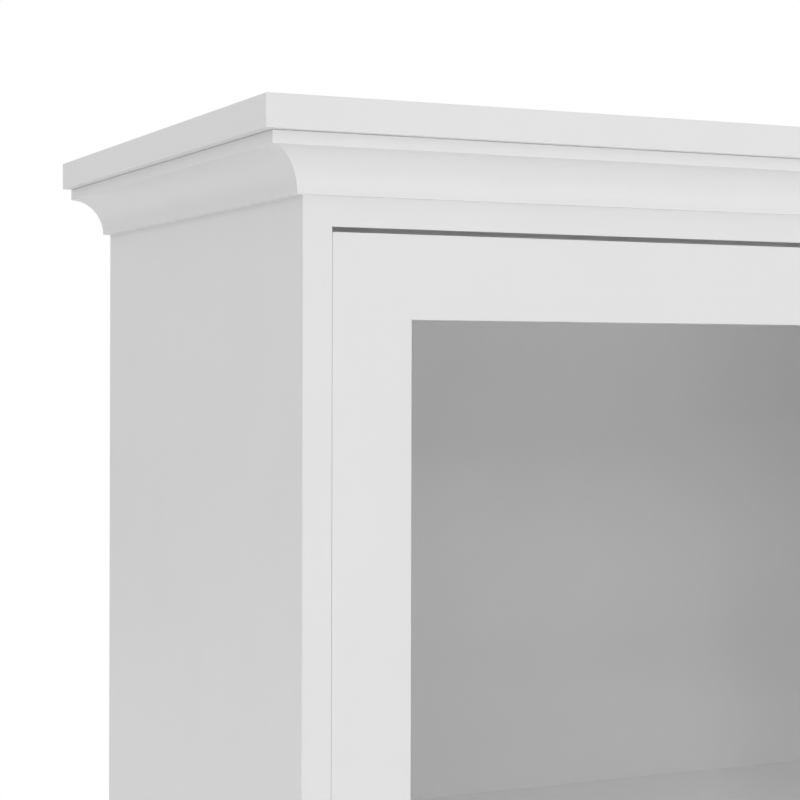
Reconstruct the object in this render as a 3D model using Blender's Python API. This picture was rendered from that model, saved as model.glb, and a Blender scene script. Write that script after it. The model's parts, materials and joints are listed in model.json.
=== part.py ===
"""Barrister bookcase: a painted case with four glazed doors that lift up and slide back.

Metres, +Z up. The origin is on the floor, under the middle of the bookcase's outline.
-Y is the front. Doors and shelves are numbered from the top.
"""

import math

import bmesh
import bpy
from mathutils import Vector

# ---- Driving dimensions ------------------------------------------------------------------------
GAP = 0.0003  # between pieces that touch

CASE_WIDTH = 0.842  # over the side panels
CASE_DEPTH = 0.386
PANEL = 0.018  # thickness of the side panels, shelves and rails
BACK_THICKNESS = 0.006
COMPARTMENTS = 4
CLEAR_HEIGHT = 0.4275  # inside each compartment
PLINTH_HEIGHT = 0.080  # under the bottom panel

SLAB_THICKNESS = 0.019
SLAB_OVERHANG = 0.0365

CROWN_HEIGHT = 0.0328
CROWN_PROJECTION = 0.030
CROWN_STEP = 0.0055  # flat underside before the cove starts
COVE_HEIGHT = 0.025
TOP_EDGE_SHOWN = 0.0175  # front edge of the top panel that shows under the crown

BASE_PROJECTION = 0.015
BASE_COVE = 0.010  # radius of the cove along its top edge

HOUSING_DEPTH = 0.006  # shelf ends let into the side panels
HOUSING_SETBACK = 0.010  # the housings stop short of the front edge
BACK_RABBET = 0.009  # ledge in the side panels that holds the back

DOOR_THICKNESS = 0.019
DOOR_FRAME = 0.050  # width of the stiles and rails
DOOR_TOP_GAP = 0.003
DOOR_BOTTOM_GAP = 0.002
DOOR_SIDE_GAP = 0.0008
GLASS_THICKNESS = 0.003
GLASS_LEDGE = 0.008  # width of the rabbet behind the frame's inner edge
GLASS_REVEAL = 0.009  # frame thickness left in front of the rabbet

PIVOT_DROP = 0.019  # pin axis under the door's top edge
SLIDE_TRAVEL = 0.345
PIN_SHANK_RADIUS = 0.0025
PIN_HEAD_RADIUS = 0.004
PIN_SHANK_LENGTH = 0.015  # inside the stile
GROOVE_DEPTH = 0.008

KNOB_RADIUS = 0.013
KNOB_LENGTH = 0.026
KNOB_BASE_RADIUS = 0.0075
KNOB_NECK_RADIUS = 0.005
KNOB_NECK_AT = 0.36 * KNOB_LENGTH  # where the neck is slimmest, from the door's face
KNOB_RIM_AT = 0.66 * KNOB_LENGTH  # where the head is widest
KNOB_HEAD_BACK = 0.20 * KNOB_LENGTH  # length of the rounded back of the head
KNOB_STUD_RADIUS = 0.002
KNOB_STUD_LENGTH = 0.012

KNOB_SEGMENTS = 20  # round the axis
BORE_SEGMENTS = 16  # round the axis of a bore, a pin and a groove's two ends together
COVE_SEGMENTS = 12
SMOOTH_ANGLE = math.radians(35)  # edges sharper than this stay sharp

# ---- Derived places ----------------------------------------------------------------------------
HALF_WIDTH = CASE_WIDTH / 2
INNER_HALF = HALF_WIDTH - PANEL
FRONT = SLAB_OVERHANG - (CASE_DEPTH + SLAB_OVERHANG) / 2
REAR = FRONT + CASE_DEPTH
BACK_FACE = REAR - BACK_THICKNESS  # inside face of the back panel
SHELF_REAR = BACK_FACE - GAP

PITCH = CLEAR_HEIGHT + PANEL
BOTTOM_TOP = PLINTH_HEIGHT + PANEL
CEILING = BOTTOM_TOP + COMPARTMENTS * PITCH - PANEL  # underside of the top panel
CROWN_Z = CEILING + TOP_EDGE_SHOWN
SLAB_Z = CROWN_Z + CROWN_HEIGHT

DOOR_WIDTH = 2 * (INNER_HALF - DOOR_SIDE_GAP)
DOOR_HEIGHT = CLEAR_HEIGHT - DOOR_TOP_GAP - DOOR_BOTTOM_GAP
PIVOT_Y = FRONT + DOOR_THICKNESS / 2
GROOVE_HALF = PIN_HEAD_RADIUS + GAP

SIDES = {"left": -1, "right": 1}


def ceiling_of(number):
    """Height of the ceiling over door `number`; door 1 is the top one."""
    return CEILING - (number - 1) * PITCH


def pivot_height(number):
    return ceiling_of(number) - DOOR_TOP_GAP - PIVOT_DROP


# ---- Materials ---------------------------------------------------------------------------------
def make_material(name, color, roughness, metallic=0.0, transmission=0.0):
    material = bpy.data.materials.new(name)
    material.use_nodes = True
    shader = material.node_tree.nodes["Principled BSDF"]
    shader.inputs["Base Color"].default_value = (*color, 1.0)
    shader.inputs["Roughness"].default_value = roughness
    shader.inputs["Metallic"].default_value = metallic
    shader.inputs["Transmission Weight"].default_value = transmission
    material.diffuse_color = (*color, 1.0)
    return material


# ---- Mesh helpers ------------------------------------------------------------------------------
def finish_mesh(name, bm, material, location, parent=None):
    """Turn a bmesh into a placed object with its faces pointing out."""
    bmesh.ops.recalc_face_normals(bm, faces=bm.faces)
    mesh = bpy.data.meshes.new(name)
    bm.to_mesh(mesh)
    bm.free()
    item = bpy.data.objects.new(name, mesh)
    bpy.context.collection.objects.link(item)
    item.location = location
    item.parent = parent
    if material is not None:
        mesh.materials.append(material)
    return item


def block(name, low, high, material=None, parent=None):
    """A board between two corners, with its origin at its middle."""
    low = Vector(low)
    high = Vector(high)
    bm = bmesh.new()
    bmesh.ops.create_cube(bm, size=1.0)
    bmesh.ops.scale(bm, vec=high - low, verts=bm.verts)
    return finish_mesh(name, bm, material, (low + high) / 2, parent)


def carve(item, cutters):
    """Cut each cutter out of an item, and keep the cutters as hidden guides."""
    for cutter in cutters:
        cutter.parent = item.parent
        cutter.hide_render = True
        cutter.display_type = "WIRE"
        cut = item.modifiers.new("cut_" + cutter.name, "BOOLEAN")
        cut.operation = "DIFFERENCE"
        cut.solver = "EXACT"
        cut.object = cutter


def extrude_outline(name, points, vector, material, location, parent=None):
    """A flat outline pushed along a vector into a closed solid."""
    bm = bmesh.new()
    start = [bm.verts.new(p) for p in points]
    face = bm.faces.new(start)
    pushed = bmesh.ops.extrude_face_region(bm, geom=[face])
    moved = [g for g in pushed["geom"] if isinstance(g, bmesh.types.BMVert)]
    bmesh.ops.translate(bm, vec=vector, verts=moved)
    return finish_mesh(name, bm, material, location, parent)


def turned(name, outline, axis, material, location, segments, parent=None):
    """A round solid from (distance, radius) points along an axis; it starts and ends on the axis."""
    bm = bmesh.new()
    to_axis = Vector((0.0, 0.0, 1.0)).rotation_difference(Vector(axis)).to_matrix()
    ring = [bm.verts.new(to_axis @ Vector((radius, 0.0, along))) for along, radius in outline]
    edges = [bm.edges.new(pair) for pair in zip(ring, ring[1:])]
    bmesh.ops.spin(
        bm,
        geom=ring + edges,
        cent=(0.0, 0.0, 0.0),
        axis=axis,
        angle=math.tau,
        steps=segments,
        use_merge=True,
    )
    bmesh.ops.remove_doubles(bm, verts=bm.verts, dist=0.00001)
    item = finish_mesh(name, bm, material, location, parent)
    item.data.shade_smooth()
    item.data.set_sharp_from_angle(angle=SMOOTH_ANGLE)
    return item


def arc(center, radius_x, radius_y, start, end, segments):
    """Points on an elliptical arc, both ends included; angles in degrees."""
    angles = [math.radians(start + (end - start) * i / segments) for i in range(segments + 1)]
    return [
        (center[0] + radius_x * math.cos(a), center[1] + radius_y * math.sin(a)) for a in angles
    ]


# ---- Case --------------------------------------------------------------------------------------
def slide_groove(name, side, height):
    """Cutter with round ends for the groove that a door's pivot pin runs in."""
    y_front = PIVOT_Y
    y_rear = PIVOT_Y + SLIDE_TRAVEL
    outline = arc((y_rear, height), GROOVE_HALF, GROOVE_HALF, -90, 90, BORE_SEGMENTS // 2)
    outline += arc((y_front, height), GROOVE_HALF, GROOVE_HALF, 90, 270, BORE_SEGMENTS // 2)
    points = [(0.0, y, z) for y, z in outline]
    inside = side * (INNER_HALF - PANEL / 2)
    reach = side * (PANEL / 2 + GROOVE_DEPTH)
    return extrude_outline(name, points, (reach, 0.0, 0.0), None, (inside, 0.0, 0.0))


def side_panel(side_name, paint):
    side = SIDES[side_name]
    inner = side * INNER_HALF
    outer = side * HALF_WIDTH
    name = "side_panel_" + side_name
    panel = block(
        name,
        (min(inner, outer), FRONT, 0.0),
        (max(inner, outer), REAR, SLAB_Z - GAP),
        paint,
    )

    def pocket(label, depth, y_low, y_high, z_low, z_high):
        """Box cutter that goes `depth` into the inner face."""
        x_open = side * (INNER_HALF - PANEL / 2)
        x_end = side * (INNER_HALF + depth)
        low = (min(x_open, x_end), y_low, z_low)
        high = (max(x_open, x_end), y_high, z_high)
        return block(f"{name}_{label}", low, high)

    past = PANEL  # how far a cutter stands past an outer face
    cutters = [
        pocket("back_rabbet", BACK_RABBET, BACK_FACE - GAP, REAR + past, PLINTH_HEIGHT, SLAB_Z + past)
    ]
    for level in range(COMPARTMENTS + 1):
        shelf_z = PLINTH_HEIGHT + level * PITCH
        cutters.append(
            pocket(
                f"housing_{level}",
                HOUSING_DEPTH,
                FRONT + HOUSING_SETBACK,
                REAR + past,
                shelf_z - GAP,
                shelf_z + PANEL + GAP,
            )
        )
    for number in range(1, COMPARTMENTS + 1):
        cutters.append(slide_groove(f"{name}_groove_{number}", side, pivot_height(number)))
    carve(panel, cutters)
    return panel


def housed_board(name, z_low, paint):
    """A shelf, or the top or bottom panel, with its ends let into the side panels."""
    reach = INNER_HALF + HOUSING_DEPTH - GAP
    board = block(name, (-reach, FRONT, z_low), (reach, SHELF_REAR, z_low + PANEL), paint)
    cutters = []
    for side_name, side in SIDES.items():
        near = side * (INNER_HALF - GAP)
        far = side * (INNER_HALF + PANEL)
        low = (min(near, far), FRONT - PANEL, z_low - PANEL)
        high = (max(near, far), FRONT + HOUSING_SETBACK + GAP, z_low + 2 * PANEL)
        cutters.append(block(f"{name}_notch_{side_name}", low, high))
    carve(board, cutters)
    return board


def cross_rail(name, y_low, z_low, z_high, paint):
    """A rail on edge between the side panels."""
    reach = INNER_HALF - GAP
    return block(name, (-reach, y_low, z_low), (reach, y_low + PANEL, z_high), paint)


def build_case(paint):
    for side_name in SIDES:
        side_panel(side_name, paint)
    housed_board("top_panel", CEILING, paint)
    for number in range(1, COMPARTMENTS):
        housed_board(f"shelf_{number}", ceiling_of(number) - PITCH, paint)
    housed_board("bottom_panel", PLINTH_HEIGHT, paint)

    back_reach = INNER_HALF + BACK_RABBET - GAP
    block(
        "back_panel",
        (-back_reach, BACK_FACE, PLINTH_HEIGHT + GAP),
        (back_reach, REAR, SLAB_Z - GAP),
        paint,
    )

    over_top_panel = CEILING + PANEL + GAP
    cross_rail("crown_rail_front", FRONT, over_top_panel, SLAB_Z - GAP, paint)
    cross_rail("crown_rail_back", SHELF_REAR - PANEL, over_top_panel, SLAB_Z - GAP, paint)
    cross_rail("plinth_rail_front", FRONT, 0.0, PLINTH_HEIGHT - GAP, paint)
    cross_rail("plinth_rail_back", REAR - PANEL, 0.0, PLINTH_HEIGHT - GAP, paint)

    slab_half = HALF_WIDTH + SLAB_OVERHANG
    block(
        "top_slab",
        (-slab_half, FRONT - SLAB_OVERHANG, SLAB_Z),
        (slab_half, REAR, SLAB_Z + SLAB_THICKNESS),
        paint,
    )


# ---- Mouldings ---------------------------------------------------------------------------------
def crown_profile():
    """(stand-out, height) points: flat step, hollow quarter ellipse, then a square fillet."""
    cove_reach = CROWN_PROJECTION - CROWN_STEP
    cove = arc((CROWN_PROJECTION, 0.0), cove_reach, COVE_HEIGHT, 180, 90, COVE_SEGMENTS)
    top = CROWN_HEIGHT - GAP
    return [(GAP, 0.0)] + cove + [(CROWN_PROJECTION, top), (GAP, top)]


def base_profile():
    """(stand-out, height) points: tall flat board with a small cove running into its top."""
    top = PLINTH_HEIGHT
    cove = arc((BASE_PROJECTION, top), BASE_COVE, BASE_COVE, 270, 180, COVE_SEGMENTS // 2)
    return [(GAP, 0.0), (BASE_PROJECTION, 0.0)] + cove + [(GAP, top)]


def moulding_run(name, profile, start, along, outward, length, mitres, height, paint):
    """A straight length of moulding; `mitres` says which of its two ends are cut at 45 degrees."""
    along = Vector(along)
    outward = Vector(outward)
    mitre_gap = GAP / 2 * math.sqrt(2)
    bm = bmesh.new()
    ends = []
    for at_end, mitred in enumerate(mitres):
        reach = 1 if at_end else -1
        verts = []
        for stand_out, rise in profile:
            travel = length * at_end
            if mitred:
                travel += reach * (stand_out - mitre_gap)
            verts.append(bm.verts.new(along * travel + outward * stand_out + Vector((0, 0, rise))))
        ends.append(verts)
        bm.faces.new(verts)
    count = len(profile)
    for i in range(count):
        j = (i + 1) % count
        bm.faces.new((ends[0][i], ends[0][j], ends[1][j], ends[1][i]))
    item = finish_mesh(name, bm, paint, (start[0], start[1], height))
    item.data.shade_smooth()
    item.data.set_sharp_from_angle(angle=SMOOTH_ANGLE)
    return item


def wrap_moulding(prefix, profile, height, paint):
    """Runs along the left side, the front and the right side of the case."""
    runs = (
        ("left", (-HALF_WIDTH, REAR), (0, -1, 0), (-1, 0, 0), CASE_DEPTH, (False, True)),
        ("front", (-HALF_WIDTH, FRONT), (1, 0, 0), (0, -1, 0), CASE_WIDTH, (True, True)),
        ("right", (HALF_WIDTH, FRONT), (0, 1, 0), (1, 0, 0), CASE_DEPTH, (True, False)),
    )
    for side_name, start, along, outward, length, mitres in runs:
        name = f"{prefix}_{side_name}"
        moulding_run(name, profile, start, along, outward, length, mitres, height, paint)


# ---- Doors -------------------------------------------------------------------------------------
# Door pieces are placed from the pin axis: x from the middle, y from mid thickness, z from the axis.
DOOR_TOP = PIVOT_DROP
DOOR_BOTTOM = DOOR_TOP - DOOR_HEIGHT
DOOR_FACE = -DOOR_THICKNESS / 2
DOOR_REAR = DOOR_THICKNESS / 2
LEDGE_Y = DOOR_FACE + GLASS_REVEAL
OPENING_HALF = DOOR_WIDTH / 2 - DOOR_FRAME
OPENING_TOP = DOOR_TOP - DOOR_FRAME
OPENING_BOTTOM = DOOR_BOTTOM + DOOR_FRAME
KNOB_X = DOOR_WIDTH / 4
KNOB_Z = DOOR_BOTTOM + DOOR_FRAME / 2
CUTTER_PAST = 0.010  # how far a door cutter stands past the wood


def stile(name, side, paint, pivot):
    inner = side * OPENING_HALF
    outer = side * DOOR_WIDTH / 2
    item = block(
        name,
        (min(inner, outer), DOOR_FACE, DOOR_BOTTOM),
        (max(inner, outer), DOOR_REAR, DOOR_TOP),
        paint,
        pivot,
    )
    ledge = side * (OPENING_HALF + GLASS_LEDGE)
    open_x = side * (OPENING_HALF - CUTTER_PAST)
    rabbet = block(
        name + "_rabbet",
        (min(open_x, ledge), LEDGE_Y, DOOR_BOTTOM - CUTTER_PAST),
        (max(open_x, ledge), DOOR_REAR + CUTTER_PAST, DOOR_TOP + CUTTER_PAST),
    )
    bore_radius = PIN_SHANK_RADIUS + GAP
    bore_start = CUTTER_PAST
    bore_end = -(PIN_SHANK_LENGTH + GAP)
    bore = turned(
        name + "_bore",
        [(bore_end, 0.0), (bore_end, bore_radius), (bore_start, bore_radius), (bore_start, 0.0)],
        (side, 0, 0),
        None,
        (outer, 0.0, 0.0),
        BORE_SEGMENTS,
    )
    carve(item, [rabbet, bore])


def rail(name, at_top, paint, pivot):
    """A rail with a tongue at each end that laps behind the stile, over its rabbet."""
    reach = OPENING_HALF + GLASS_LEDGE - GAP
    shoulder = OPENING_HALF - GAP
    z_low = OPENING_TOP if at_top else DOOR_BOTTOM
    z_high = DOOR_TOP if at_top else OPENING_BOTTOM
    item = block(name, (-reach, DOOR_FACE, z_low), (reach, DOOR_REAR, z_high), paint, pivot)

    ledge_low = z_low - CUTTER_PAST if at_top else z_high - GLASS_LEDGE
    ledge_high = z_low + GLASS_LEDGE if at_top else z_high + CUTTER_PAST
    past = reach + CUTTER_PAST
    cutters = [
        block(
            name + "_rabbet",
            (-past, LEDGE_Y, ledge_low),
            (past, DOOR_REAR + CUTTER_PAST, ledge_high),
        )
    ]
    for side_name, side in SIDES.items():
        near = side * shoulder
        far = side * past
        cutters.append(
            block(
                f"{name}_shoulder_{side_name}",
                (min(near, far), DOOR_FACE - CUTTER_PAST, z_low - CUTTER_PAST),
                (max(near, far), LEDGE_Y + GAP, z_high + CUTTER_PAST),
            )
        )
    if not at_top:
        for side_name, side in SIDES.items():
            cutters.append(knob_bore(f"{name}_bore_{side_name}", side))
    carve(item, cutters)


def knob_bore(name, side):
    radius = KNOB_STUD_RADIUS + GAP
    end = KNOB_STUD_LENGTH + GAP
    outline = [(-CUTTER_PAST, 0.0), (-CUTTER_PAST, radius), (end, radius), (end, 0.0)]
    place = (side * KNOB_X, DOOR_FACE, KNOB_Z)
    return turned(name, outline, (0, 1, 0), None, place, BORE_SEGMENTS)


def glass_pane(name, material, pivot):
    reach = OPENING_HALF + GLASS_LEDGE - GAP
    block(
        name,
        (-reach, LEDGE_Y + GAP, OPENING_BOTTOM - GLASS_LEDGE + GAP),
        (reach, LEDGE_Y + GAP + GLASS_THICKNESS, OPENING_TOP + GLASS_LEDGE - GAP),
        material,
        pivot,
    )


def glass_retainer(name, material, pivot):
    """Strip round the back of the glass, flush with the frame's inner edge and rear face."""
    reach = OPENING_HALF + GLASS_LEDGE - GAP
    y_low = LEDGE_Y + GLASS_THICKNESS + 2 * GAP
    item = block(
        name,
        (-reach, y_low, OPENING_BOTTOM - GLASS_LEDGE + GAP),
        (reach, DOOR_REAR, OPENING_TOP + GLASS_LEDGE - GAP),
        material,
        pivot,
    )
    window = block(
        name + "_window",
        (-OPENING_HALF, y_low - CUTTER_PAST, OPENING_BOTTOM),
        (OPENING_HALF, DOOR_REAR + CUTTER_PAST, OPENING_TOP),
    )
    carve(item, [window])


def knob(name, side, material, pivot):
    """Turned knob: stud, flared base, slim neck and a domed round head."""
    back_radius = KNOB_RADIUS / 2
    outline = [
        (-KNOB_STUD_LENGTH, 0.0),
        (-KNOB_STUD_LENGTH, KNOB_STUD_RADIUS),
        (GAP, KNOB_STUD_RADIUS),
    ]
    flare = KNOB_BASE_RADIUS - KNOB_NECK_RADIUS
    outline += arc((KNOB_NECK_AT, KNOB_BASE_RADIUS), KNOB_NECK_AT - GAP, flare, 180, 270, 4)
    outline += arc((KNOB_RIM_AT, back_radius), KNOB_HEAD_BACK, KNOB_RADIUS - back_radius, 180, 90, 3)
    outline += arc((KNOB_RIM_AT, 0.0), KNOB_LENGTH - KNOB_RIM_AT, KNOB_RADIUS, 90, 0, 6)[1:]
    place = (side * KNOB_X, DOOR_FACE, KNOB_Z)
    turned(name, outline, (0, -1, 0), material, place, KNOB_SEGMENTS, pivot)


def pivot_pin(name, side, material, pivot):
    """Stepped pin: the shank turns in the stile, and the head runs in the side panel's groove."""
    panel_face = INNER_HALF - DOOR_WIDTH / 2
    outline = [
        (-PIN_SHANK_LENGTH, 0.0),
        (-PIN_SHANK_LENGTH, PIN_SHANK_RADIUS),
        (panel_face + GAP, PIN_SHANK_RADIUS),
        (panel_face + GAP, PIN_HEAD_RADIUS),
        (panel_face + GROOVE_DEPTH - GAP, PIN_HEAD_RADIUS),
        (panel_face + GROOVE_DEPTH - GAP, 0.0),
    ]
    place = (side * DOOR_WIDTH / 2, 0.0, 0.0)
    turned(name, outline, (side, 0, 0), material, place, BORE_SEGMENTS, pivot)


def build_door(number, paint, glass, vinyl, nickel, brass):
    prefix = f"door_{number}"
    pivot = bpy.data.objects.new(prefix + "_pivot_axis", None)
    bpy.context.collection.objects.link(pivot)
    pivot.location = (0.0, PIVOT_Y, pivot_height(number))
    rail(prefix + "_rail_top", True, paint, pivot)
    rail(prefix + "_rail_bottom", False, paint, pivot)
    glass_pane(prefix + "_glass", glass, pivot)
    glass_retainer(prefix + "_glass_retainer", vinyl, pivot)
    for side_name, side in SIDES.items():
        stile(f"{prefix}_stile_{side_name}", side, paint, pivot)
        knob(f"{prefix}_knob_{side_name}", side, nickel, pivot)
        pivot_pin(f"{prefix}_pivot_pin_{side_name}", side, brass, pivot)


# ---- Assembly ----------------------------------------------------------------------------------
def build():
    for item in list(bpy.data.objects):
        bpy.data.objects.remove(item)
    paint = make_material("white_paint", (0.78, 0.78, 0.78), 0.42)
    glass = make_material("clear_glass", (0.95, 0.96, 0.96), 0.03, transmission=1.0)
    vinyl = make_material("white_vinyl", (0.70, 0.70, 0.70), 0.55)
    nickel = make_material("brushed_nickel", (0.62, 0.60, 0.57), 0.30, metallic=1.0)
    brass = make_material("brass", (0.72, 0.52, 0.24), 0.32, metallic=1.0)

    build_case(paint)
    wrap_moulding("crown", crown_profile(), CROWN_Z, paint)
    wrap_moulding("base_moulding", base_profile(), 0.0, paint)
    for number in range(1, COMPARTMENTS + 1):
        build_door(number, paint, glass, vinyl, nickel, brass)


build()
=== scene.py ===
"""Looks of the barrister bookcase: satin white paint, clear glass, brushed nickel and brass."""

import json
import math

import bmesh
import bpy
from mathutils import Matrix, Vector


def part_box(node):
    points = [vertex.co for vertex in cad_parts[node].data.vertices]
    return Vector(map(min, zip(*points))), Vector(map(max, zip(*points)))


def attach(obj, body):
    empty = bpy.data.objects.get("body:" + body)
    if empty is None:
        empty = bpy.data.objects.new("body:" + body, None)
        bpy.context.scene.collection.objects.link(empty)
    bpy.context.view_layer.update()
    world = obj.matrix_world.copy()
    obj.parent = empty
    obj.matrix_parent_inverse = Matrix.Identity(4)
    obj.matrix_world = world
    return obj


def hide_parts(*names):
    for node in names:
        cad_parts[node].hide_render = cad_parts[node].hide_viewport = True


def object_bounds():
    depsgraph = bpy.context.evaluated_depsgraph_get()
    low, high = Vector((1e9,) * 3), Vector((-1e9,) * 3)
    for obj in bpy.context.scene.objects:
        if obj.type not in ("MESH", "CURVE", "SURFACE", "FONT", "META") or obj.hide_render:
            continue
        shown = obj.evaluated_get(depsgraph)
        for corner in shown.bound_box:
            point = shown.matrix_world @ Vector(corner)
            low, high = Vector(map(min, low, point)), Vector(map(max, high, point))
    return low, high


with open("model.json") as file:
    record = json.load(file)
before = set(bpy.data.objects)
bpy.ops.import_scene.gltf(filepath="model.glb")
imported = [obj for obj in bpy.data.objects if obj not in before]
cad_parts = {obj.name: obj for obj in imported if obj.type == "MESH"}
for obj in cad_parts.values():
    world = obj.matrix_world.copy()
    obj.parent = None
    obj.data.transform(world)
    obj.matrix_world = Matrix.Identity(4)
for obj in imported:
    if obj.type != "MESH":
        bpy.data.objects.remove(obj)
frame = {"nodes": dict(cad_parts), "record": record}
CAD_LOW, CAD_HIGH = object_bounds()

# ---- Places read from the frame ----------------------------------------------------------------
PANEL_LOW, PANEL_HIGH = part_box("side_panel_left")
CASE_LEFT = PANEL_LOW.x
CASE_RIGHT = -CASE_LEFT
CASE_INNER = PANEL_HIGH.x
CASE_FRONT = PANEL_LOW.y
CASE_REAR = PANEL_HIGH.y
CROWN_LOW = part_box("crown_front")[0]
BASE_LOW, BASE_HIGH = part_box("base_moulding_front")
DOOR_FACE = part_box("door_1_stile_left")[0].y
KNOB_LOW, KNOB_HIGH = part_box("door_1_knob_left")
KNOB_RADIUS = (KNOB_HIGH.x - KNOB_LOW.x) / 2
KNOB_LENGTH = DOOR_FACE - KNOB_LOW.y
KNOB_STUD_LENGTH = KNOB_HIGH.y - DOOR_FACE  # sunk in the door
DOORS = [node.removesuffix("_glass") for node in frame["nodes"] if node.endswith("_glass")]

# ---- Sizes that only the looks need ------------------------------------------------------------
BOARD_EDGE = 0.0004  # rounding of the painted arrises
TRIM_EDGE = 0.0003  # and of the strip behind the glass
FILM = 0.0001  # paint that bridges the joints, on each side of the wood's surface
LIP = 0.00032  # paint built up on the edges beside each door, which nearly closes the gap
LIP_LAP = 0.0010  # how far that paint reaches over the front
LIP_DEPTH = 0.0040
LIP_EDGE = 0.0003

CROWN_STEP = 0.0055  # flat underside of the crown, before its cove starts
CROWN_COVE_HEIGHT = 0.025
BASE_COVE = 0.010  # radius of the cove along the base's top edge
MOULDING_EDGE = 0.0005
MOULDING_BACK = -0.00005  # the paint closes the joint between a moulding and the case
CROWN_JOINT = 0.00015  # fine shadow line left open under the top slab
COVE_SEGMENTS = 28

EDGE_SEGMENTS = 3
EDGE_ANGLE = 40  # degrees; a board's edges sharper than this are rounded
WELD_REACH = 0.00001
FLAT_SHARP = 35  # degrees; edges sharper than this stay crisp on flat pieces
CURVED_SHARP = 50  # and on curved ones
KNOB_STUD_RADIUS = 0.002
KNOB_FOOT_RADIUS = 0.0075
KNOB_NECK_RADIUS = 0.005
KNOB_NECK_AT = 0.36 * KNOB_LENGTH  # where the neck is slimmest, from the door's face
KNOB_RIM_AT = 0.66 * KNOB_LENGTH  # where the head is widest
KNOB_HEAD_BACK = 0.20 * KNOB_LENGTH  # length of the rounded back of the head
KNOB_GAP = 0.0003  # between the foot and the door
KNOB_EDGE = 0.0008  # rounding of the foot's rim
KNOB_EDGE_SEGMENTS = 4
KNOB_FLARE_SEGMENTS = 14
KNOB_BACK_SEGMENTS = 12
KNOB_DOME_SEGMENTS = 22
KNOB_SEGMENTS = 64  # round the axis


# ---- Node helpers ------------------------------------------------------------------------------
NOISE_LOW = 0.3  # a noise texture's values nearly all lie between these two
NOISE_HIGH = 0.7


class Nodes:
    """Short-hand for building a node tree."""

    def __init__(self, tree):
        self.tree = tree

    def add(self, kind, **settings):
        """A new node, with its settings."""
        node = self.tree.nodes.new(kind)
        for key, value in settings.items():
            setattr(node, key, value)
        return node

    def link(self, source, target):
        """Join an output socket to an input socket."""
        self.tree.links.new(source, target)

    def place(self, scale=(1.0, 1.0, 1.0)):
        """The object's own coordinates, stretched by `scale`."""
        coordinates = self.add("ShaderNodeTexCoord")
        mapping = self.add("ShaderNodeMapping")
        mapping.inputs["Scale"].default_value = scale
        self.link(coordinates.outputs["Object"], mapping.inputs["Vector"])
        return mapping.outputs["Vector"]

    def noise(self, vector, scale, detail=2.0, roughness=0.5):
        """Cloudy values from 0 to 1, with `scale` clouds to the metre."""
        node = self.add("ShaderNodeTexNoise")
        node.inputs["Scale"].default_value = scale
        node.inputs["Detail"].default_value = detail
        node.inputs["Roughness"].default_value = roughness
        self.link(vector, node.inputs["Vector"])
        return node.outputs["Fac"]

    def remap(self, value, low, high, new_low, new_high):
        """A value that goes from new_low to new_high as the old one goes from low to high."""
        node = self.add("ShaderNodeMapRange")
        node.inputs["From Min"].default_value = low
        node.inputs["From Max"].default_value = high
        node.inputs["To Min"].default_value = new_low
        node.inputs["To Max"].default_value = new_high
        self.link(value, node.inputs["Value"])
        return node.outputs["Result"]

    def vary(self, noise, least, most):
        """A noise's values, stretched to run from the least to the most."""
        return self.remap(noise, NOISE_LOW, NOISE_HIGH, least, most)

    def math(self, operation, first, second=0.0):
        """A Math node's result; either operand is a number or a socket."""
        node = self.add("ShaderNodeMath", operation=operation)
        for socket, value in zip(node.inputs, (first, second)):
            if isinstance(value, (int, float)):
                socket.default_value = value
            else:
                self.link(value, socket)
        return node.outputs["Value"]

    def blend(self, share, first, second):
        """A value that goes from the first to the second as the share goes from 0 to 1."""
        node = self.add("ShaderNodeMix", data_type="FLOAT")
        for name, value in (("Factor", share), ("A", first), ("B", second)):
            if isinstance(value, (int, float)):
                node.inputs[name].default_value = value
            else:
                self.link(value, node.inputs[name])
        return node.outputs["Result"]

    def tint(self, color, amount):
        """A colour times an amount that varies over the surface."""
        node = self.add("ShaderNodeVectorMath", operation="SCALE")
        node.inputs[0].default_value = color
        self.link(amount, node.inputs["Scale"])
        return node.outputs["Vector"]

    def bump(self, height, strength, distance, normal=None):
        """A surface direction tilted by a height that varies; `distance` is its full height."""
        node = self.add("ShaderNodeBump")
        node.inputs["Strength"].default_value = strength
        node.inputs["Distance"].default_value = distance
        self.link(height, node.inputs["Height"])
        if normal is not None:
            self.link(normal, node.inputs["Normal"])
        return node.outputs["Normal"]


class Surface(Nodes):
    """The node tree of one new material, with its Principled shader at hand."""

    def __init__(self, name):
        self.material = bpy.data.materials.new(name)
        self.material.use_nodes = True
        super().__init__(self.material.node_tree)
        self.shader = self.tree.nodes["Principled BSDF"]
        self.output = self.tree.nodes["Material Output"]

    def feed(self, name, source):
        """Link a varying value to one of the shader's sockets."""
        self.link(source, self.shader.inputs[name])

    def set(self, **values):
        """Constant values on the shader's own sockets, named with _ for a space."""
        for key, value in values.items():
            self.shader.inputs[key.replace("_", " ")].default_value = value


# ---- Materials ---------------------------------------------------------------------------------
PAINT_COLOR = (0.78, 0.78, 0.78)
VINYL_COLOR = (0.70, 0.70, 0.695)
NICKEL_COLOR = (0.60, 0.58, 0.55)
BRASS_COLOR = (0.70, 0.50, 0.23)
CLEAR = (0.969, 0.969, 0.969)  # what a pane lets through
GLASS_IOR = 1.5
PANE_MIRRORING = 1.9  # a pane's two faces together mirror about this many times one face
GRAIN_STRETCH = 0.03  # a brush mark's width as a share of its length
RINGS_PER_METRE = 2600.0  # turning marks on a knob


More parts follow.
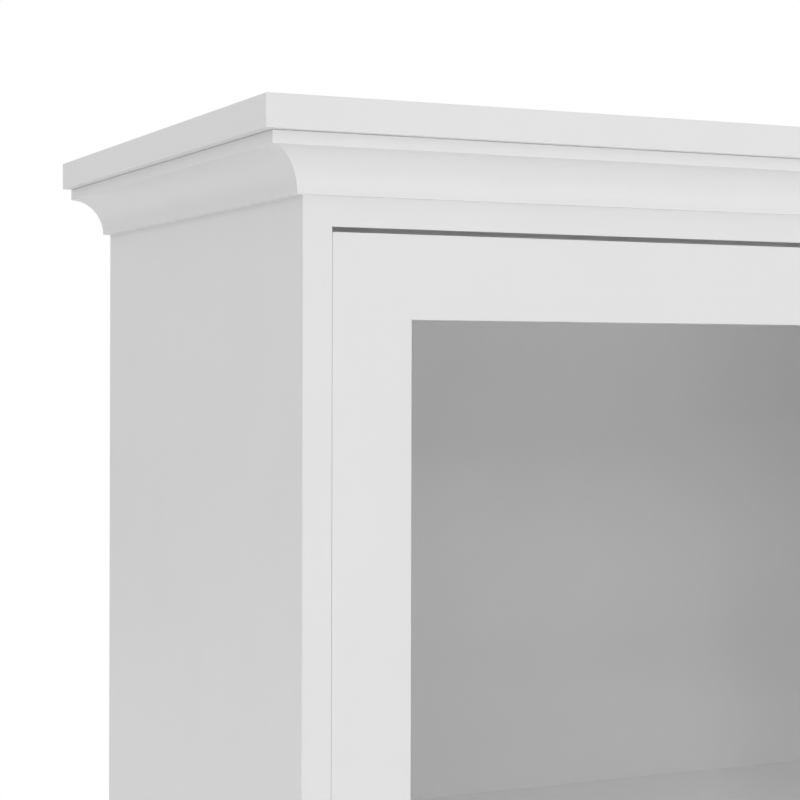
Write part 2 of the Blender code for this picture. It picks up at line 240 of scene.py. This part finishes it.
def paint_material(name, grain_axis):
    """Satin paint: faint tone drift, sprayed texture, and soft marks along the board's length."""
    nodes = Surface(name)
    plain = nodes.place()
    stretch = [1.0, 1.0, 1.0]
    stretch["XYZ".index(grain_axis)] = GRAIN_STRETCH
    along = nodes.place(stretch)

    drift = nodes.vary(nodes.noise(plain, scale=2.4, detail=3.0), 0.985, 1.012)
    mottle = nodes.vary(nodes.noise(plain, scale=17.0, detail=4.0, roughness=0.6), 0.994, 1.006)
    streak = nodes.vary(nodes.noise(along, scale=160.0, detail=3.0, roughness=0.6), 0.998, 1.002)
    tone = nodes.math("MULTIPLY", nodes.math("MULTIPLY", drift, mottle), streak)
    nodes.feed("Base Color", nodes.tint(PAINT_COLOR, tone))

    sheen_clouds = nodes.noise(plain, scale=30.0, detail=3.0)
    sheen_marks = nodes.noise(along, scale=220.0)
    both = nodes.math("ADD", sheen_clouds, sheen_marks)
    nodes.feed("Roughness", nodes.remap(both, 2 * NOISE_LOW, 2 * NOISE_HIGH, 0.36, 0.48))

    spray = nodes.noise(plain, scale=420.0, roughness=0.45)
    orange_peel = nodes.bump(spray, strength=0.16, distance=0.0004)
    brush = nodes.noise(along, scale=300.0, detail=3.0, roughness=0.55)
    nodes.feed("Normal", nodes.bump(brush, strength=0.10, distance=0.0004, normal=orange_peel))
    nodes.set(IOR=1.46, Specular_IOR_Level=0.45)
    return nodes.material


def vinyl_material():
    """Soft white extruded strip, slightly duller than the paint."""
    nodes = Surface("white_vinyl")
    plain = nodes.place()
    tone = nodes.vary(nodes.noise(plain, scale=40.0, detail=3.0), 0.97, 1.02)
    nodes.feed("Base Color", nodes.tint(VINYL_COLOR, tone))
    nodes.feed("Roughness", nodes.vary(nodes.noise(plain, scale=140.0), 0.48, 0.62))
    grit = nodes.noise(plain, scale=900.0)
    nodes.feed("Normal", nodes.bump(grit, strength=0.15, distance=0.0003))
    return nodes.material


def glass_material():
    """Thin clear pane: what is behind shows through, and both faces mirror a little."""
    nodes = Surface("clear_glass")
    nodes.tree.nodes.remove(nodes.shader)
    plain = nodes.place()

    through = nodes.add("ShaderNodeBsdfTransparent")
    haze = nodes.vary(nodes.noise(plain, scale=6.0, detail=3.0), 0.985, 1.0)
    nodes.link(nodes.tint(CLEAR, haze), through.inputs["Color"])

    mirror = nodes.add("ShaderNodeBsdfGlossy")
    mirror.inputs["Color"].default_value = (1.0, 1.0, 1.0, 1.0)
    smear = nodes.vary(nodes.noise(plain, scale=11.0, detail=4.0, roughness=0.6), 0.02, 0.05)
    nodes.link(smear, mirror.inputs["Roughness"])
    ripple = nodes.bump(nodes.noise(plain, scale=5.0, detail=1.0), strength=0.04, distance=0.002)
    nodes.link(ripple, mirror.inputs["Normal"])

    fresnel = nodes.add("ShaderNodeFresnel")
    fresnel.inputs["IOR"].default_value = GLASS_IOR
    geometry = nodes.add("ShaderNodeNewGeometry")
    entering = nodes.math("SUBTRACT", 1.0, geometry.outputs["Backfacing"])  # mirrors on the way in
    both_faces = nodes.math("MULTIPLY", fresnel.outputs["Fac"], PANE_MIRRORING)
    share = nodes.math("MINIMUM", nodes.math("MULTIPLY", both_faces, entering), 1.0)
    mix = nodes.add("ShaderNodeMixShader")
    nodes.link(share, mix.inputs["Fac"])
    nodes.link(through.outputs["BSDF"], mix.inputs[1])
    nodes.link(mirror.outputs["BSDF"], mix.inputs[2])
    nodes.link(mix.outputs["Shader"], nodes.output.inputs["Surface"])
    return nodes.material


def nickel_material():
    """Brushed nickel with fine turning rings about the knob's own axis."""
    nodes = Surface("brushed_nickel")
    plain = nodes.place()
    tone = nodes.vary(nodes.noise(plain, scale=90.0, detail=3.0), 0.94, 1.04)
    nodes.feed("Base Color", nodes.tint(NICKEL_COLOR, tone))

    split = nodes.add("ShaderNodeSeparateXYZ")
    nodes.link(plain, split.inputs["Vector"])
    square_x = nodes.math("MULTIPLY", split.outputs["X"], split.outputs["X"])
    square_z = nodes.math("MULTIPLY", split.outputs["Z"], split.outputs["Z"])
    radius = nodes.math("SQRT", nodes.math("ADD", square_x, square_z))
    rings = nodes.add("ShaderNodeTexNoise", noise_dimensions="1D")
    rings.inputs["Scale"].default_value = RINGS_PER_METRE
    rings.inputs["Detail"].default_value = 3.0
    nodes.link(nodes.math("ADD", radius, split.outputs["Y"]), rings.inputs["W"])
    nodes.feed("Roughness", nodes.vary(rings.outputs["Fac"], 0.22, 0.36))
    nodes.feed("Normal", nodes.bump(rings.outputs["Fac"], strength=0.12, distance=0.0002))
    nodes.set(Metallic=1.0)
    return nodes.material


def brass_material():
    """Satin brass with a little tarnish and a scuffed surface."""
    nodes = Surface("satin_brass")
    plain = nodes.place()
    tarnish = nodes.vary(nodes.noise(plain, scale=260.0, detail=4.0), 0.82, 1.06)
    nodes.feed("Base Color", nodes.tint(BRASS_COLOR, tarnish))
    nodes.feed("Roughness", nodes.vary(nodes.noise(plain, scale=700.0, detail=3.0), 0.24, 0.42))
    scuffs = nodes.noise(plain, scale=1500.0)
    nodes.feed("Normal", nodes.bump(scuffs, strength=0.1, distance=0.0002))
    nodes.set(Metallic=1.0)
    return nodes.material


# ---- Shape helpers -----------------------------------------------------------------------------
def set_material(item, material):
    """Give all of an object one material."""
    item.data.materials.clear()
    item.data.materials.append(material)


def make_piece(name, bm, material, body, location=(0.0, 0.0, 0.0), sharp=FLAT_SHARP):
    """A finished piece that rides on a body."""
    bmesh.ops.recalc_face_normals(bm, faces=bm.faces)
    mesh = bpy.data.meshes.new(name)
    bm.to_mesh(mesh)
    bm.free()
    mesh.shade_smooth()
    mesh.set_sharp_from_angle(angle=math.radians(sharp))
    item = bpy.data.objects.new(name, mesh)
    bpy.context.scene.collection.objects.link(item)
    item.location = location
    set_material(item, material)
    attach(item, body)
    return item


def soften(item, width):
    """Round a CAD solid's edges, without touching its mesh."""
    weld = item.modifiers.new("weld", "WELD")
    weld.merge_threshold = WELD_REACH
    bevel = item.modifiers.new("edges", "BEVEL")
    bevel.width = width
    bevel.segments = EDGE_SEGMENTS
    bevel.limit_method = "ANGLE"
    bevel.angle_limit = math.radians(EDGE_ANGLE)
    bevel.harden_normals = True
    bevel.use_clamp_overlap = True


def arc(center, radius_x, radius_y, start, end, segments):
    """Points on an elliptical arc, both ends included; angles in degrees."""
    angles = [math.radians(start + (end - start) * i / segments) for i in range(segments + 1)]
    return [
        (center[0] + radius_x * math.cos(a), center[1] + radius_y * math.sin(a)) for a in angles
    ]


def rounded_corner(before, corner, after, radius, segments=4):
    """Points that turn a square corner of an outline into a small arc."""
    corner = Vector(corner)
    into = (Vector(before) - corner).normalized() * radius
    out = (Vector(after) - corner).normalized() * radius
    points = []
    for i in range(segments + 1):
        angle = math.radians(90 * i / segments)
        point = corner + into * (1 - math.sin(angle)) + out * (1 - math.cos(angle))
        points.append(tuple(point))
    return points


def paint_film(name, xs, zs, filled, face_y, material, body):
    """Thin sheet of paint over a front face, in the cells of a grid that `filled` picks."""
    grid = [(row, column) for row in range(len(zs) - 1) for column in range(len(xs) - 1)]
    cells = [cell for cell in grid if filled(*cell)]
    bm = bmesh.new()
    made = {}

    def corner(row, column, y):
        if (row, column, y) not in made:
            made[row, column, y] = bm.verts.new((xs[column], y, zs[row]))
        return made[row, column, y]

    for row, column in cells:
        around = [(row, column), (row, column + 1), (row + 1, column + 1), (row + 1, column)]
        beside = [(row - 1, column), (row, column + 1), (row + 1, column), (row, column - 1)]
        front = [corner(*place, face_y - FILM) for place in around]
        back = [corner(*place, face_y + FILM) for place in around]
        bm.faces.new(front)
        bm.faces.new(reversed(back))
        for i, neighbour in enumerate(beside):
            if neighbour not in cells:
                j = (i + 1) % 4
                bm.faces.new((front[i], front[j], back[j], back[i]))
    make_piece(name, bm, material, body)


def prism(first_end, second_end):
    """Closed solid between two outlines that have the same number of points."""
    bm = bmesh.new()
    ends = [[bm.verts.new(point) for point in points] for points in (first_end, second_end)]
    for end in ends:
        bm.faces.new(end)
    count = len(first_end)
    for i in range(count):
        j = (i + 1) % count
        bm.faces.new((ends[0][i], ends[0][j], ends[1][j], ends[1][i]))
    return bm


def paint_lip(name, wood_x, outward, face_y, low_z, high_z, material, body):
    """Rounded strip of paint along an upright edge; `outward` is 1 or -1 along X."""
    lap_x = wood_x - outward * LIP_LAP
    lip_x = wood_x + outward * LIP
    front_y = face_y - FILM
    back_y = face_y + LIP_DEPTH
    outline = [(lap_x, back_y), (lap_x, front_y)]
    outline += rounded_corner((lap_x, front_y), (lip_x, front_y), (lip_x, back_y), LIP_EDGE)
    outline += [(lip_x, back_y)]
    low_end, high_end = ([(x, y, z) for x, y in outline] for z in (low_z, high_z))
    make_piece(name, prism(low_end, high_end), material, body)


# ---- Case --------------------------------------------------------------------------------------
def grain_of(node):
    """The direction a board's length runs in."""
    low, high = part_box(node)
    size = high - low
    return "XYZ"[max(range(3), key=lambda i: size[i])]


def finish_boards(paints):
    """Every painted CAD board keeps its shape and gets rounded arrises and paint."""
    slots = {part["node"]: part["material_slot"] for part in frame["record"]["subparts"]}
    for node, item in frame["nodes"].items():
        if slots[node] == "white_painted_wood":
            set_material(item, paints[grain_of(node)])
            soften(item, BOARD_EDGE)


def case_front_film(paint):
    """Paint over the front edges of the side panels and of the boards between them."""
    boards = ["bottom_panel", "shelf_3", "shelf_2", "shelf_1", "top_panel"]
    inner = CASE_INNER - LIP_LAP
    outer = CASE_LEFT + BOARD_EDGE
    xs = [outer, inner, -inner, -outer]
    zs = []
    for board in boards:
        low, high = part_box(board)
        zs += [low.z + BOARD_EDGE, high.z - BOARD_EDGE]
    zs[-1] = CROWN_LOW.z + BOARD_EDGE  # the top panel runs on behind the crown
    zs[0] = BASE_HIGH.z - BOARD_EDGE  # and the bottom one behind the base moulding

    def filled(row, column):
        in_opening = column == 1 and row % 2 == 1
        return not in_opening

    paint_film("case_front_paint", xs, zs, filled, CASE_FRONT, paint, "cabinet")
    for row in range(1, len(zs) - 1, 2):
        for side, wood_x, outward in (("left", CASE_INNER, 1), ("right", -CASE_INNER, -1)):
            name = f"case_{side}_lip_{row // 2 + 1}"
            paint_lip(name, wood_x, outward, CASE_FRONT, zs[row], zs[row + 1], paint, "cabinet")


# ---- Mouldings ---------------------------------------------------------------------------------
def crown_profile():
    """(stand-out, height) outline: flat step, cove, square fillet, flat back."""
    reach = CASE_FRONT - CROWN_LOW.y
    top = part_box("top_slab")[0].z - CROWN_JOINT - CROWN_LOW.z
    cove_start = (CROWN_STEP, 0.0)
    cove = arc((reach, 0.0), reach - CROWN_STEP, CROWN_COVE_HEIGHT, 180, 90, COVE_SEGMENTS)
    outline = [(MOULDING_BACK, 0.0)]
    outline += rounded_corner((0.0, 0.0), cove_start, (CROWN_STEP, top), MOULDING_EDGE)
    outline += [p for p in cove if p[1] > MOULDING_EDGE and p[0] < reach - MOULDING_EDGE]
    lip = (reach, CROWN_COVE_HEIGHT)
    outline += rounded_corner(cove_start[:1] + lip[1:], lip, (reach, top), MOULDING_EDGE)
    outline += rounded_corner(lip, (reach, top), (0.0, top), MOULDING_EDGE)
    outline += [(MOULDING_BACK, top)]
    return outline


def base_profile():
    """(stand-out, height) outline: tall flat board with a small cove along its top."""
    reach = CASE_FRONT - BASE_LOW.y
    top = BASE_HIGH.z - BASE_LOW.z
    shoulder = (reach, top - BASE_COVE)
    step = (reach - BASE_COVE, top)
    cove = arc((reach, top), BASE_COVE, BASE_COVE, 270, 180, COVE_SEGMENTS)
    outline = [(MOULDING_BACK, 0.0)]
    outline += rounded_corner((0.0, 0.0), (reach, 0.0), shoulder, MOULDING_EDGE)
    outline += rounded_corner((reach, 0.0), shoulder, (0.0, shoulder[1]), MOULDING_EDGE)
    outline += [p for p in cove if p[0] < reach - MOULDING_EDGE and p[1] < top - MOULDING_EDGE]
    outline += rounded_corner((step[0], 0.0), step, (0.0, top), MOULDING_EDGE)
    outline += [(MOULDING_BACK, top)]
    return outline


def moulding_run(name, node, profile, start, along, outward, length, mitres, paint):
    """A straight run of moulding whose mitred ends meet the next run without a gap."""
    start, along, outward = Vector(start), Vector(along), Vector(outward)
    ends = []
    for at_end, mitred in enumerate(mitres):
        spread = 0  # how far the end runs on for each metre of stand-out
        if mitred:
            spread = 1 if at_end else -1
        points = []
        for stand_out, rise in profile:
            travel = length * at_end + spread * stand_out
            points.append(start + along * travel + outward * stand_out + Vector((0.0, 0.0, rise)))
        ends.append(points)
    piece = make_piece(
        name, prism(*ends), paint, "cabinet", sharp=CURVED_SHARP
    )
    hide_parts(node)


def wrap_moulding(name, node, profile, height, paints):
    """Mitred runs along the left side, the front and the right side of the case."""
    depth = CASE_REAR - CASE_FRONT
    width = CASE_RIGHT - CASE_LEFT
    runs = (
        ("left", (CASE_LEFT, CASE_REAR, height), (0, -1, 0), (-1, 0, 0), depth, (False, True), "Y"),
        ("front", (CASE_LEFT, CASE_FRONT, height), (1, 0, 0), (0, -1, 0), width, (True, True), "X"),
        ("right", (CASE_RIGHT, CASE_FRONT, height), (0, 1, 0), (1, 0, 0), depth, (True, False), "Y"),
    )
    for side, start, along, outward, length, mitres, grain in runs:
        moulding_run(
            f"{name}_{side}",
            f"{node}_{side}",
            profile,
            start,
            along,
            outward,
            length,
            mitres,
            paints[grain],
        )


# ---- Doors -------------------------------------------------------------------------------------
def door_front_film(door, paints):
    """Paint over a door frame's front, across the joints between its stiles and rails."""
    stile_low, stile_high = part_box(f"{door}_stile_left")
    rail_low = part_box(f"{door}_rail_top")[0]
    bottom_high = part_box(f"{door}_rail_bottom")[1]
    outer = stile_low.x + LIP_LAP
    inner = stile_high.x - BOARD_EDGE
    xs = [outer, inner, -inner, -outer]
    zs = [
        stile_low.z + BOARD_EDGE,
        bottom_high.z - BOARD_EDGE,
        rail_low.z + BOARD_EDGE,
        stile_high.z - BOARD_EDGE,
    ]

    def filled(row, column):
        over_glass = row == 1 and column == 1
        return not over_glass

    paint_film(f"{door}_front_paint", xs, zs, filled, DOOR_FACE, paints["X"], door)
    for side, wood_x, outward in (("left", stile_low.x, -1), ("right", -stile_low.x, 1)):
        name = f"{door}_{side}_lip"
        paint_lip(name, wood_x, outward, DOOR_FACE, zs[0], zs[-1], paints["Z"], door)


def knob_outline():
    """(distance from the door, radius) points of the turned knob, from its stud to its dome."""
    foot_start = KNOB_FOOT_RADIUS - KNOB_EDGE
    foot_middle = (KNOB_GAP + KNOB_EDGE, foot_start)
    neck_middle = (KNOB_NECK_AT, KNOB_FOOT_RADIUS)
    flare_length = KNOB_NECK_AT - KNOB_GAP - 2 * KNOB_EDGE
    flare = KNOB_FOOT_RADIUS - KNOB_NECK_RADIUS
    back_middle = (KNOB_RIM_AT, KNOB_RADIUS / 2)
    back = KNOB_RADIUS - KNOB_RADIUS / 2
    dome_length = KNOB_LENGTH - KNOB_RIM_AT

    outline = [
        (-KNOB_STUD_LENGTH, 0.0),
        (-KNOB_STUD_LENGTH, KNOB_STUD_RADIUS),
        (KNOB_GAP, KNOB_STUD_RADIUS),
        (KNOB_GAP, foot_start),
    ]
    outline += arc(foot_middle, KNOB_EDGE, KNOB_EDGE, 180, 90, KNOB_EDGE_SEGMENTS)[1:]
    outline += arc(neck_middle, flare_length, flare, 180, 270, KNOB_FLARE_SEGMENTS)
    outline += arc(back_middle, KNOB_HEAD_BACK, back, 180, 90, KNOB_BACK_SEGMENTS)
    outline += arc((KNOB_RIM_AT, 0.0), dome_length, KNOB_RADIUS, 90, 0, KNOB_DOME_SEGMENTS)[1:]
    return outline


def turned_knob():
    """The knob about its own axis, which points out of the door's face."""
    outline = knob_outline()
    turns = [math.tau * i / KNOB_SEGMENTS for i in range(KNOB_SEGMENTS)]
    bm = bmesh.new()
    stud_end = bm.verts.new((0.0, -outline[0][0], 0.0))
    rings = []
    for along, radius in outline[1:-1]:
        places = [(radius * math.cos(turn), -along, radius * math.sin(turn)) for turn in turns]
        rings.append([bm.verts.new(place) for place in places])
    dome_end = bm.verts.new((0.0, -outline[-1][0], 0.0))
    for i in range(KNOB_SEGMENTS):
        j = (i + 1) % KNOB_SEGMENTS
        bm.faces.new((stud_end, rings[0][i], rings[0][j]))
        for ring, after in zip(rings, rings[1:]):
            bm.faces.new((ring[i], after[i], after[j], ring[j]))
        bm.faces.new((dome_end, rings[-1][j], rings[-1][i]))
    return bm


def finish_door(door, paints, glass, vinyl, nickel, brass):
    """Glass, strip, pins, front paint and turned knobs of one door."""
    nodes = frame["nodes"]
    set_material(nodes[f"{door}_glass"], glass)
    set_material(nodes[f"{door}_glass_retainer"], vinyl)
    soften(nodes[f"{door}_glass_retainer"], TRIM_EDGE)
    door_front_film(door, paints)
    for side in ("left", "right"):
        set_material(nodes[f"{door}_pivot_pin_{side}"], brass)
        low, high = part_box(f"{door}_knob_{side}")
        middle = (low + high) / 2
        place = (middle.x, DOOR_FACE, middle.z)
        name = f"{door}_{side}_knob"
        piece = make_piece(name, turned_knob(), nickel, door, place, CURVED_SHARP)
        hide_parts(f"{door}_knob_{side}")


# ---- Studio ------------------------------------------------------------------------------------
FLOOR_RADIUS = 60.0
FLOOR_SIDES = 96
FLOOR_DROP = 0.0005  # keeps the floor just clear of the base
FLOOR_FADE_START = 1.8  # the floor turns into the white room between these distances
FLOOR_FADE_END = 5.0
FLOOR_COLOR = (0.84, 0.84, 0.84, 1.0)
FLOOR_ROUGHNESS = 0.8

# Bearing from straight in front of the object towards its right in degrees, and the brightness
# there of the white room's walls and of its floor: a wide bright screen in front, darker sides.
ROOM = (
    (-180, 1.15, 0.95),
    (-120, 1.15, 0.95),
    (-95, 0.66, 0.95),
    (-50, 0.66, 0.95),
    (-25, 1.02, 2.25),
    (32, 1.02, 2.25),
    (34.5, 0.56, 1.88),
    (100, 0.65, 1.15),
    (135, 1.15, 0.95),
    (180, 1.15, 0.95),
)
BRIGHTEST = max(max(walls, ground) for bearing, walls, ground in ROOM)
HORIZON = 0.50  # how bright the walls' feet are, beside the walls themselves
WALL_START = 3  # elevations between which the walls reach their full brightness
WALL_END = 15
CEILING = 0.7  # brightness overhead
CEILING_START = 45  # elevations between which the walls turn into the ceiling
CEILING_END = 75
FLOOR_LIT_TO = 9.5  # beyond this distance the floor gets darker
FLOOR_LEAST = 0.22  # but never less than this share of its light


def room_brightness(nodes, place):
    """Brightness of the room's walls and floor in a direction, by its compass bearing only."""
    split = nodes.add("ShaderNodeSeparateXYZ")
    nodes.link(place, split.inputs["Vector"])
    ahead = nodes.math("MULTIPLY", split.outputs["Y"], -1.0)
    bearing = nodes.math("ARCTAN2", split.outputs["X"], ahead)
    turn = nodes.remap(bearing, -math.pi, math.pi, 0.0, 1.0)
    ramp = nodes.add("ShaderNodeValToRGB")
    ramp.color_ramp.interpolation = "EASE"
    stops = ramp.color_ramp.elements
    while len(stops) < len(ROOM):
        stops.new(0.5)
    for stop, (degrees, walls, ground) in zip(stops, ROOM):
        stop.position = (degrees + 180) / 360
        share = walls / BRIGHTEST
        stop.color = (share, share, share, ground / BRIGHTEST)
    nodes.link(turn, ramp.inputs["Fac"])
    of_walls = nodes.math("MULTIPLY", ramp.outputs["Color"], BRIGHTEST)
    of_ground = nodes.math("MULTIPLY", ramp.outputs["Alpha"], BRIGHTEST)
    return of_walls, of_ground


def height_share(nodes, direction, start, end, first, last):
    """A value that changes between two elevations, given in degrees."""
    split = nodes.add("ShaderNodeSeparateXYZ")
    nodes.link(direction, split.inputs["Vector"])
    low = math.sin(math.radians(start))
    high = math.sin(math.radians(end))
    return nodes.remap(split.outputs["Z"], low, high, first, last)


def white_for_camera(nodes, brightness):
    """The room looks evenly white, whatever light it gives."""
    path = nodes.add("ShaderNodeLightPath")
    return nodes.blend(path.outputs["Is Camera Ray"], brightness, 1.0)


def floor():
    """Pale matte disc that fades into the white room."""
    bm = bmesh.new()
    bmesh.ops.create_circle(bm, cap_ends=True, segments=FLOOR_SIDES, radius=FLOOR_RADIUS)
    mesh = bpy.data.meshes.new("studio_floor")
    bm.to_mesh(mesh)
    bm.free()
    item = bpy.data.objects.new("studio_floor", mesh)
    bpy.context.scene.collection.objects.link(item)
    item.location.z = CAD_LOW.z - FLOOR_DROP

    nodes = Surface("studio_floor")
    nodes.set(Roughness=FLOOR_ROUGHNESS, Specular_IOR_Level=0.0, Base_Color=FLOOR_COLOR)
    place = nodes.place()
    length = nodes.add("ShaderNodeVectorMath", operation="LENGTH")
    nodes.link(place, length.inputs[0])
    distance = length.outputs["Value"]
    falloff = nodes.math("MINIMUM", nodes.math("DIVIDE", FLOOR_LIT_TO, distance), 1.0)
    falloff = nodes.math("MAXIMUM", falloff, FLOOR_LEAST)
    glow = nodes.add("ShaderNodeEmission")
    light = nodes.math("MULTIPLY", room_brightness(nodes, place)[1], falloff)
    seen = white_for_camera(nodes, light)
    nodes.link(seen, glow.inputs["Strength"])
    mix = nodes.add("ShaderNodeMixShader")
    fade = nodes.remap(distance, FLOOR_FADE_START, FLOOR_FADE_END, 0.0, 1.0)
    nodes.link(fade, mix.inputs["Fac"])
    nodes.link(nodes.shader.outputs["BSDF"], mix.inputs[1])
    nodes.link(glow.outputs["Emission"], mix.inputs[2])
    nodes.link(mix.outputs["Shader"], nodes.output.inputs["Surface"])
    set_material(item, nodes.material)


def room():
    """White room that lights the object softly from every side."""
    world = bpy.data.worlds.new("studio")
    bpy.context.scene.world = world
    world.use_nodes = True
    nodes = Nodes(world.node_tree)
    coordinates = nodes.add("ShaderNodeTexCoord")
    direction = coordinates.outputs["Generated"]
    wall = room_brightness(nodes, direction)[0]
    foot = height_share(nodes, direction, WALL_START, WALL_END, HORIZON, 1.0)
    ceiling = height_share(nodes, direction, CEILING_START, CEILING_END, 0.0, 1.0)
    light = nodes.blend(ceiling, nodes.math("MULTIPLY", wall, foot), CEILING)
    background = nodes.tree.nodes["Background"]
    background.inputs["Color"].default_value = (1.0, 1.0, 1.0, 1.0)
    nodes.link(white_for_camera(nodes, light), background.inputs["Strength"])


# The camera stands to the left of the top left corner of the case, a little under the crown.
CAMERA_FROM_CORNER = Vector((-0.4158, -1.0326, -0.0971))
CAMERA_YAW = math.radians(24.80)  # from looking straight at the front, towards the right
CAMERA_PITCH = math.radians(-0.08)
CAMERA_ROLL = math.radians(0.14)
CAMERA_LENS = 87.7
CAMERA_SHIFT = -0.04
CAMERA_SENSOR = 36.0
CAMERA_NEAREST = 0.05


def camera():
    """The camera, placed from the case's corner."""
    data = bpy.data.cameras.new("camera")
    data.sensor_width = CAMERA_SENSOR
    data.lens = CAMERA_LENS
    data.shift_y = CAMERA_SHIFT
    data.clip_start = CAMERA_NEAREST
    item = bpy.data.objects.new("camera", data)
    bpy.context.scene.collection.objects.link(item)
    corner = Vector((CASE_LEFT, CASE_FRONT, CROWN_LOW.z))
    place = Matrix.Translation(corner + CAMERA_FROM_CORNER)
    turn = Matrix.Rotation(-CAMERA_YAW, 4, "Z")
    tilt = Matrix.Rotation(math.radians(90) + CAMERA_PITCH, 4, "X")
    roll = Matrix.Rotation(CAMERA_ROLL, 4, "Z")
    item.matrix_world = place @ turn @ tilt @ roll
    bpy.context.scene.camera = item


def studio():
    """Floor, room and camera, with plain display colours."""
    bpy.context.scene.view_settings.view_transform = "Standard"
    floor()
    room()
    camera()


# ---- Build -------------------------------------------------------------------------------------
paints = {axis: paint_material(f"white_paint_{axis}", axis) for axis in "XYZ"}
finish_boards(paints)
case_front_film(paints["Z"])
wrap_moulding("crown_run", "crown", crown_profile(), CROWN_LOW.z, paints)
wrap_moulding("base_run", "base_moulding", base_profile(), BASE_LOW.z, paints)

glass = glass_material()
vinyl = vinyl_material()
nickel = nickel_material()
brass = brass_material()
for door_name in DOORS:
    finish_door(door_name, paints, glass, vinyl, nickel, brass)

studio()
